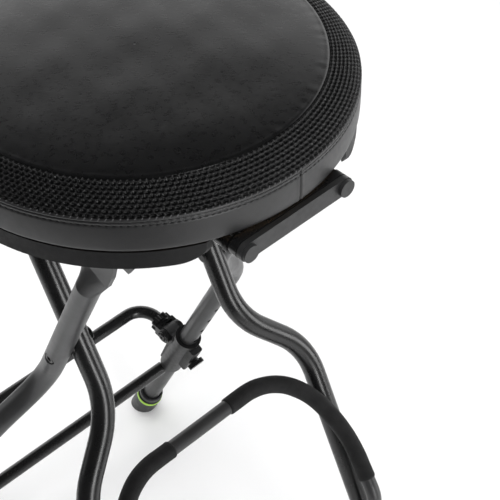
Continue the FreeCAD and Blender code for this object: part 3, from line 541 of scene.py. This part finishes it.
def capsule_rows(name, centres, axes, length, radius, mat, seg=6):
    """Many small rounded stitches in one mesh. centres/axes (N,3) metres."""
    rings = [(-1.0, 0.0), (-0.86, 0.62), (-0.5, 0.95), (0.0, 1.0), (0.5, 0.95), (0.86, 0.62), (1.0, 0.0)]
    vs, fs = [], []
    for c, a in zip(centres, axes):
        a = a / np.linalg.norm(a)
        helper = np.array([0, 0, 1.0]) if abs(a[2]) < 0.8 else np.array([1.0, 0, 0])
        b = np.cross(a, helper); b /= np.linalg.norm(b)
        t = np.cross(a, b)
        base = len(vs)
        vs.append(c - a * length / 2)
        for w, rr in rings[1:-1]:
            for k in range(seg):
                ang = 2 * math.pi * k / seg
                vs.append(c + a * (w * length / 2) + (b * math.cos(ang) + t * math.sin(ang)) * rr * radius)
        vs.append(c + a * length / 2)
        last = len(vs) - 1
        n = len(rings) - 2
        for k in range(seg):
            fs.append((base, base + 1 + (k + 1) % seg, base + 1 + k))
            for q in range(n - 1):
                o = base + 1 + q * seg
                fs.append((o + k, o + (k + 1) % seg, o + seg + (k + 1) % seg, o + seg + k))
            o = base + 1 + (n - 1) * seg
            fs.append((o + k, o + (k + 1) % seg, last))
    return mesh_object(name, np.array(vs), fs, mat)


# topstitch on the band and slanted stitches over the seam
N = STITCHES
ph = (np.arange(N) + 0.5) * 2 * math.pi / N
cen = seat_point(np.full(N, 179.5), ph, np.full(N, 25.6) + rng.normal(0, 0.05, N))
ax = np.stack([-np.sin(ph), np.cos(ph), np.zeros(N)], -1)
topstitch = capsule_rows("seat_band_topstitch", cen, ax, 0.0034, 0.00034, M_DARK_THREAD)
ph2 = ph + math.pi / N
cen = seat_point(np.full(N, 179.55), ph2, np.full(N, 31.3))
ax = np.stack([-np.sin(ph2) * 0.75, np.cos(ph2) * 0.75, np.full(N, 0.9)], -1)
ax += np.stack([-np.cos(ph2), -np.sin(ph2), np.zeros(N)], -1) * 0.35
seamstitch = capsule_rows("seat_seam_stitches", cen, ax, 0.0030, 0.00042, M_THREAD)

# lining under the seams so that no gap shows through
lining_line = [(150.0, 46.0), (156.0, 44.2), (166.0, 39.0), (175.0, 31.0), (177.0, 28.0), (177.5, 10.0), (174.4, 3.0)]
lining = lathe("seat_foam_lining", smooth_profile(lining_line, 2.0), M_PLASTIC, nu=240)
for piece in (mesh_ring, seam_band, topstitch, seamstitch, lining):
    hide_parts("seat_cushion")
for piece in (leather_top, mesh_ring, seam_band, topstitch, seamstitch, lining):
    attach(piece, "seat")

# ------------------------------------------------------------------ foam grips
PIVOT_Z, LEG = 526.4, math.radians(26.0)
HOOP_OFF, HOOP_DOWN, HOOP_TILT = 4.0, 157.5, math.radians(19.5)


def inner_to_row(p):
    """Inner frame's own mm (x, y, z) to the row frame in metres."""
    x, y, z = p
    a = -LEG
    return np.array([x, y * math.cos(a) - z * math.sin(a), PIVOT_Z + y * math.sin(a) + z * math.cos(a)]) / 1000.0


def hoop_point(x, u):
    a = -HOOP_TILT
    y, z = 0.0, -u
    return np.array([x, HOOP_OFF + y * math.cos(a) - z * math.sin(a), -HOOP_DOWN + y * math.sin(a) + z * math.cos(a)])


def rounded(points, radii_mm, step=1.5):
    """Straight runs joined by tangent arcs, sampled evenly."""
    pts = [np.array(p, float) for p in points]
    out = [pts[0]]
    for i in range(1, len(pts) - 1):
        a = pts[i - 1] - pts[i]; a /= np.linalg.norm(a)
        b = pts[i + 1] - pts[i]; b /= np.linalg.norm(b)
        half = math.acos(np.clip(a @ b, -1, 1)) / 2
        reach = radii_mm[i - 1] / math.tan(half)
        p1, p2 = pts[i] + a * reach, pts[i] + b * reach
        mid = (a + b) / np.linalg.norm(a + b)
        c = pts[i] + mid * (radii_mm[i - 1] / math.sin(half))
        e1 = (p1 - c) / radii_mm[i - 1]
        e2 = (p2 - c) - ((p2 - c) @ e1) * e1
        e2 /= np.linalg.norm(e2)
        sweep = math.pi - 2 * half
        for t in np.linspace(0, sweep, 14):
            out.append(c + radii_mm[i - 1] * (math.cos(t) * e1 + math.sin(t) * e2))
    out.append(pts[-1])
    out = np.array(out)
    keep = [0] + [k for k in range(1, len(out)) if np.linalg.norm(out[k] - out[k - 1]) > 1e-6]
    out = out[keep]
    s = np.concatenate([[0], np.cumsum(np.linalg.norm(np.diff(out, axis=0), axis=1))])
    n = int(s[-1] / step) + 1
    se = np.linspace(0, s[-1], n)
    return np.stack([np.interp(se, s, out[:, k]) for k in range(3)], -1), se


def tube_mesh(name, path_mm, radius_fn, mat, to_row, seg=40, relief=None, ends="round"):
    """Tube along a path; radius_fn(s, theta) in mm, s measured from the start."""
    pts, s = path_mm
    tan = np.gradient(pts, axis=0)
    tan /= np.linalg.norm(tan, axis=1, keepdims=True)
    n0 = np.cross(tan[0], [0, 0, 1.0])
    if np.linalg.norm(n0) < 0.1:
        n0 = np.cross(tan[0], [0, 1.0, 0])
    n0 /= np.linalg.norm(n0)
    frames = []
    n = n0
    for t in tan:
        n = n - (n @ t) * t
        n /= np.linalg.norm(n)
        frames.append((n.copy(), np.cross(t, n)))
    th = np.linspace(0, 2 * math.pi, seg, endpoint=False)
    vs = []
    for k, (p, (a, b)) in enumerate(zip(pts, frames)):
        rr = radius_fn(s[k], th, s[-1])
        vs.append(p + (np.cos(th) * rr)[:, None] * a + (np.sin(th) * rr)[:, None] * b)
    V = np.array([to_row(p) for p in np.concatenate(vs)])
    return V, grid_faces(len(pts), seg, wrap_u=False, wrap_v=True), pts, frames


def foam_grip(name, side):
    # bar, shoulder bend and arm of the hoop; hoop tube's centre line
    hp = np.array([133.6, 0.0, -385.0])
    knee = hoop_point(131.5, 176.0)
    base = [hoop_point(37.0, 0), hoop_point(95.0, 0), hoop_point(129.0, 45.0), hoop_point(142.2, 98.0)]
    tail = base[-1] + (knee - base[-1]) * ((152.0 - 98.0) / 78.0)
    pts = [np.array([p[0] * side, p[1], p[2]]) for p in base + [tail]]
    path = rounded(pts, [71.0, 90.0, 150.0], 1.6)
    r0 = np.random.default_rng(5 if side > 0 else 6)
    ph_ = r0.uniform(0, 6.28, 8)

    def radius(s, th, total):
        end = min(s, total - s)
        body = 9.25
        if end < 1.6:
            body -= 0.9 * (1 - math.sqrt(max(0.0, 1 - (1 - end / 1.6) ** 2)))
        wob = 0.07 * math.sin(s / 9.0 + ph_[0]) + 0.05 * math.sin(s / 4.1 + ph_[1])
        return body + wob + 0.09 * np.sin(3 * th + s / 23.0 + ph_[2]) + 0.06 * np.sin(5 * th - s / 15.0 + ph_[3]) - 0.05

    V, F, pts_, frames = tube_mesh(name, path, radius, M_FOAM, inner_to_row, seg=44)
    seg = 44
    # faces that close the ends down to the tube
    th = np.linspace(0, 2 * math.pi, seg, endpoint=False)
    F = [tuple(f) for f in F]
    extra = []
    for end, sign in ((0, 1), (len(pts_) - 1, -1)):
        a, b = frames[end]
        base_i = len(V) + len(extra)
        for q in range(seg):
            p = pts_[end] + (math.cos(th[q]) * a + math.sin(th[q]) * b) * 7.85
            extra.append(inner_to_row(p))
        for q in range(seg):
            o = end * seg
            quad = (o + q, o + (q + 1) % seg, base_i + (q + 1) % seg, base_i + q)
            F.append(quad if sign < 0 else quad[::-1])
    V = np.vstack([V, np.array(extra)])
    ob = mesh_object(name, V, F, M_FOAM)
    return ob


grip_r = foam_grip("hoop_grip_foam_right", 1)
grip_l = foam_grip("hoop_grip_foam_left", -1)
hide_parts("hoop_foam_right")
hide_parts("hoop_foam_left")
for g in (grip_r, grip_l):
    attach(g, "hoop")

# ------------------------------------------------------------------ carried-over CAD nodes
LOOK = {
    "seat_board": M_WOOD, "side_skirt_left": M_SKIRT, "side_skirt_right": M_SKIRT,
    "seat_plate": M_BLACK, "seat_screws": M_ZINC, "hinge_bracket_left": M_BLACK, "hinge_bracket_right": M_BLACK,
    "hinge_bolts": M_BOLT, "hinge_spacers": M_PLASTIC, "slide_rail_left": M_BLACK, "slide_rail_right": M_BLACK,
    "bumper_guide_left": M_PLASTIC, "bumper_guide_right": M_PLASTIC, "bumper_bar": M_BUMPER, "bumper_caps": M_BUMPER,
    "bumper_posts": M_BLACK, "bumper_collars": M_PLASTIC,
    "outer_leg_left": M_GRAPHITE, "outer_leg_right": M_GRAPHITE, "rear_feet": M_RUBBER, "rear_foot_rings": M_LIME,
    "pivot_bolts": M_BOLT, "pivot_spacers": M_PLASTIC, "pivot_nuts": M_BOLT,
    "inner_leg_left": M_BLACK, "inner_leg_right": M_BLACK, "slide_cross_tube": M_BLACK, "front_cross_tube": M_BLACK,
    "leg_top_caps": M_PLASTIC, "front_feet": M_RUBBER, "front_foot_rings": M_LIME, "hoop_bolts": M_BOLT,
    "footrest_sleeve_left": M_SLEEVE, "footrest_sleeve_right": M_SLEEVE, "sleeve_bushings": M_PLASTIC,
    "footrest_crossbar": M_BLACK, "hub_screws": M_BOLT, "foot_bar": M_BLACK, "foot_bar_knuckles": M_PLASTIC,
    "foot_bar_collars": M_PLASTIC, "clamp_knob_left": M_PLASTIC, "clamp_knob_right": M_PLASTIC,
    "hoop_tube": M_HOOPBAR, "hoop_lugs": M_BLACK,
}
for name, mat in LOOK.items():
    ob = nodes[name]
    ob.data.materials.clear()
    ob.data.materials.append(mat)


def face_data(me):
    n = len(me.polygons)
    c, nn = np.empty(n * 3, np.float32), np.empty(n * 3, np.float32)
    me.polygons.foreach_get("center", c)
    me.polygons.foreach_get("normal", nn)
    return c.reshape(-1, 3).astype(float), nn.reshape(-1, 3).astype(float)


# the bumper: graphite front, a darker rim, black behind its parting line
me = nodes["bumper_bar"].data
me.materials.append(M_RIM)
me.materials.append(M_BLACK)
cen, nor = face_data(me)
index = np.where(nor[:, 1] < -0.8, 0, np.where(cen[:, 1] < cen[:, 1].min() + 0.0048, 1, 2))
me.polygons.foreach_set("material_index", index.astype(np.int32))

# the sleeves: dark clamp pad in front; behind, the faces at the hinge head are painted darker as painted shade of the
# knuckle
M_CLAMP = moulded("clamp_dark", (0.010, 0.010, 0.0103), (0.016, 0.016, 0.0165), rough=(0.4, 0.5), strength=0.25)
M_HEAD_SHADE = moulded("hinge_head_painted_shade", (0.016, 0.016, 0.0165), (0.023, 0.023, 0.0236), rough=(0.42, 0.55), strength=0.25)
ca_, sa_ = math.cos(math.radians(26)), math.sin(math.radians(26))
for name in ("footrest_sleeve_right", "footrest_sleeve_left"):
    me = nodes[name].data
    me.materials.append(M_CLAMP)
    me.materials.append(M_HEAD_SHADE)
    cen, nor = face_data(me)
    y, z = cen[:, 1], cen[:, 2] - 0.5264
    across, along = y * ca_ + z * sa_, y * sa_ - z * ca_
    side_x = np.abs(np.abs(cen[:, 0]) - 0.1698)
    pad_face = (across < -0.0146) | ((across < -0.0116) & (side_x > 0.0078) & (side_x < 0.0082) & (np.abs(nor[:, 0]) > 0.9))
    # faces at the hinge head get the darker material: painted shade
    head = (across > 0.0075) & (along < 0.384)
    me.polygons.foreach_set("material_index", np.where(pad_face, 1, np.where(head, 2, 0)).astype(np.int32))

# walls of the height holes in the rear legs, painted near-black: painted shade inside the holes
co_, si_ = math.cos(math.radians(26)), math.sin(math.radians(26))
for name in ("outer_leg_right", "outer_leg_left"):
    me = nodes[name].data
    me.materials.append(M_HOLE_SHADE)
    cen, nor = face_data(me)
    y, z = cen[:, 1], cen[:, 2] - 0.5264
    across, along = y * co_ + z * si_, y * si_ - z * co_
    facing = np.abs(nor[:, 1] * co_ + nor[:, 2] * si_)
    row_no = np.round((along - 0.239) / 0.0315)
    near_hole = (np.abs(along - 0.239 - 0.0315 * row_no) < 0.0041) & (row_no >= 0) & (row_no <= 5)
    wall = near_hole & (facing < 0.35) & (across < -0.008) & (across > -0.01135) & (np.abs(np.abs(cen[:, 0]) - 0.1698) < 0.0042)
    me.polygons.foreach_set("material_index", wall.astype(np.int32))

# ------------------------------------------------------------------ stage, light, camera
floor_me = bpy.data.meshes.new("stage_floor")
floor_me.from_pydata([(-14, -14, 0), (14, -14, 0), (14, 14, 0), (-14, 14, 0)], [], [(0, 1, 2, 3)])
floor = bpy.data.objects.new("stage_floor", floor_me)
bpy.context.scene.collection.objects.link(floor)
fm = Mat("studio_floor", rough=0.9, spec=0.1)
fm.color(fm.ramp(fm.noise(3.0, 2.0), [(0.3, (0.88, 0.88, 0.885)), (0.7, (0.9, 0.9, 0.9))]))
floor.data.materials.append(fm.m)

world = bpy.data.worlds.new("studio")
bpy.context.scene.world = world
world.use_nodes = True
wt = world.node_tree
wt.nodes.clear()


def wn(kind, **props):
    n = wt.nodes.new(kind)
    for k, v in props.items():
        setattr(n, k, v)
    return n


def wmath(op, *args):
    n = wn("ShaderNodeMath", operation=op)
    for i, v in enumerate(args):
        if isinstance(v, (int, float)):
            n.inputs[i].default_value = v
        else:
            wt.links.new(v, n.inputs[i])
    return n.outputs[0]


def wramp(fac, stops, interp="EASE"):
    n = wn("ShaderNodeValToRGB")
    n.color_ramp.interpolation = interp
    e = n.color_ramp.elements
    while len(e) < len(stops):
        e.new(0.5)
    for item, (pos, v) in zip(e, stops):
        item.position = pos
        item.color = (v, v, v, 1)
    wt.links.new(fac, n.inputs["Fac"])
    return n.outputs["Color"]


w_out = wn("ShaderNodeOutputWorld")
bg = wn("ShaderNodeBackground")
sep = wn("ShaderNodeSeparateXYZ")
wt.links.new(wn("ShaderNodeTexCoord").outputs["Generated"], sep.inputs[0])
DX, DY, DZ = sep.outputs
# a bright sweep behind the object that ends about 40 degrees up, and a dark room in front
far = wmath("ADD", wmath("MULTIPLY", DX, 0.62), wmath("MULTIPLY", DY, 0.78))
far_mask = wmath("SMOOTH_MAX", wmath("MINIMUM", wmath("MULTIPLY", wmath("ADD", far, 0.05), 2.2), 1.0), 0.0, 0.05)
sweep = wramp(DZ, [(0.0, 1.5), (0.40, 1.8), (0.48, 1.75), (0.53, 1.15), (0.58, 0.42), (0.64, 0.09), (0.72, 0.02), (1.0, 0.02)], "LINEAR")
room = wramp(DZ, [(0.0, 0.08), (0.5, 0.03), (1.0, 0.02)], "LINEAR")
sweep_v = wmath("MULTIPLY", sweep, far_mask)
room_v = wmath("MULTIPLY", room, wmath("SUBTRACT", 1.0, far_mask))
gloss = wmath("ADD", sweep_v, room_v)
lp = wn("ShaderNodeLightPath")
soft_v = 0.52
value = wmath("ADD", wmath("MULTIPLY", gloss, lp.outputs["Is Glossy Ray"]),
              wmath("MULTIPLY", wmath("SUBTRACT", 1.0, lp.outputs["Is Glossy Ray"]), soft_v))
value = wmath("ADD", value, wmath("MULTIPLY", lp.outputs["Is Camera Ray"], 1.0 - soft_v))
wt.links.new(value, bg.inputs["Color"])
bg.inputs["Strength"].default_value = 1.0
wt.links.new(bg.outputs[0], w_out.inputs[0])


def area_light(name, loc, aim, size, power, glossy=True, size_y=None):
    li = bpy.data.lights.new(name, "AREA")
    li.shape = "RECTANGLE"
    li.size = size
    li.size_y = size_y or size
    li.energy = power
    ob = bpy.data.objects.new(name, li)
    bpy.context.scene.collection.objects.link(ob)
    ob.location = loc
    ob.rotation_mode = "QUATERNION"
    ob.rotation_quaternion = (Vector(aim) - Vector(loc)).to_track_quat("-Z", "Y")
    ob.visible_glossy = glossy
    ob.visible_camera = False
    return ob


area_light("overhead_fill", (0.2, 0.3, 3.4), (0, 0, 0), 2.6, 75, glossy=False)
area_light("key_left", (-1.45, -1.3, 3.0), (0, 0, 0.2), 0.9, 34, glossy=False)
area_light("front_softbox", (-0.34, -2.3, 0.75), (0, 0, 0.6), 0.60, 24.0, size_y=1.5)
area_light("right_card", (1.5, -1.6, 0.35), (0, 0, 0.75), 0.9, 10.5, size_y=0.6)

# black flags that only reflections see, over the floor beyond the sweep on the camera's side
flag_v, flag_f = [], []
steps = 48
for k in range(steps + 1):
    a = math.radians(95 + (345 - 95) * k / steps)
    off = math.degrees(a) - 229.0
    near = 0.60 + 0.85 * (1 - math.exp(-(off / 34.0) ** 2)) * (1.0 if off > 0 else 0.62)
    for rr in (near, 12.0):
        flag_v.append((rr * math.cos(a), rr * math.sin(a), 0.004))
for k in range(steps):
    flag_f.append((2 * k, 2 * k + 1, 2 * k + 3, 2 * k + 2))
flag_me = bpy.data.meshes.new("stage_flags")
flag_me.from_pydata(flag_v, [], flag_f)
flags = bpy.data.objects.new("stage_flags", flag_me)
bpy.context.scene.collection.objects.link(flags)
flag_mat = Mat("stage_flag_black", rough=1.0, spec=0.0)
flag_mat.color((0.06, 0.06, 0.06))
flag_me.materials.append(flag_mat.m)
flags.visible_camera = False
flags.visible_diffuse = False
flags.visible_shadow = False
flags.visible_transmission = False

cam_data = bpy.data.cameras.new("photo_camera")
cam_data.lens = 98.04
cam_data.sensor_width = 36.0
cam_data.clip_start, cam_data.clip_end = 0.05, 60.0
cam = bpy.data.objects.new("photo_camera", cam_data)
bpy.context.scene.collection.objects.link(cam)
az, el, roll = (math.radians(a) for a in (46.87, 44.06, -1.06))
fw = np.array([math.cos(el) * math.cos(az), math.cos(el) * math.sin(az), -math.sin(el)])
rt = np.array([math.sin(az), -math.cos(az), 0.0])
up = np.cross(rt, fw)
ix = math.cos(roll) * rt + math.sin(roll) * up
iy = -math.sin(roll) * rt + math.cos(roll) * up
cam.matrix_world = Matrix((
    (ix[0], iy[0], -fw[0], -0.5414), (ix[1], iy[1], -fw[1], -0.7213), (ix[2], iy[2], -fw[2], 1.4486), (0, 0, 0, 1)))
bpy.context.scene.camera = cam
bpy.context.scene.view_settings.view_transform = "Standard"
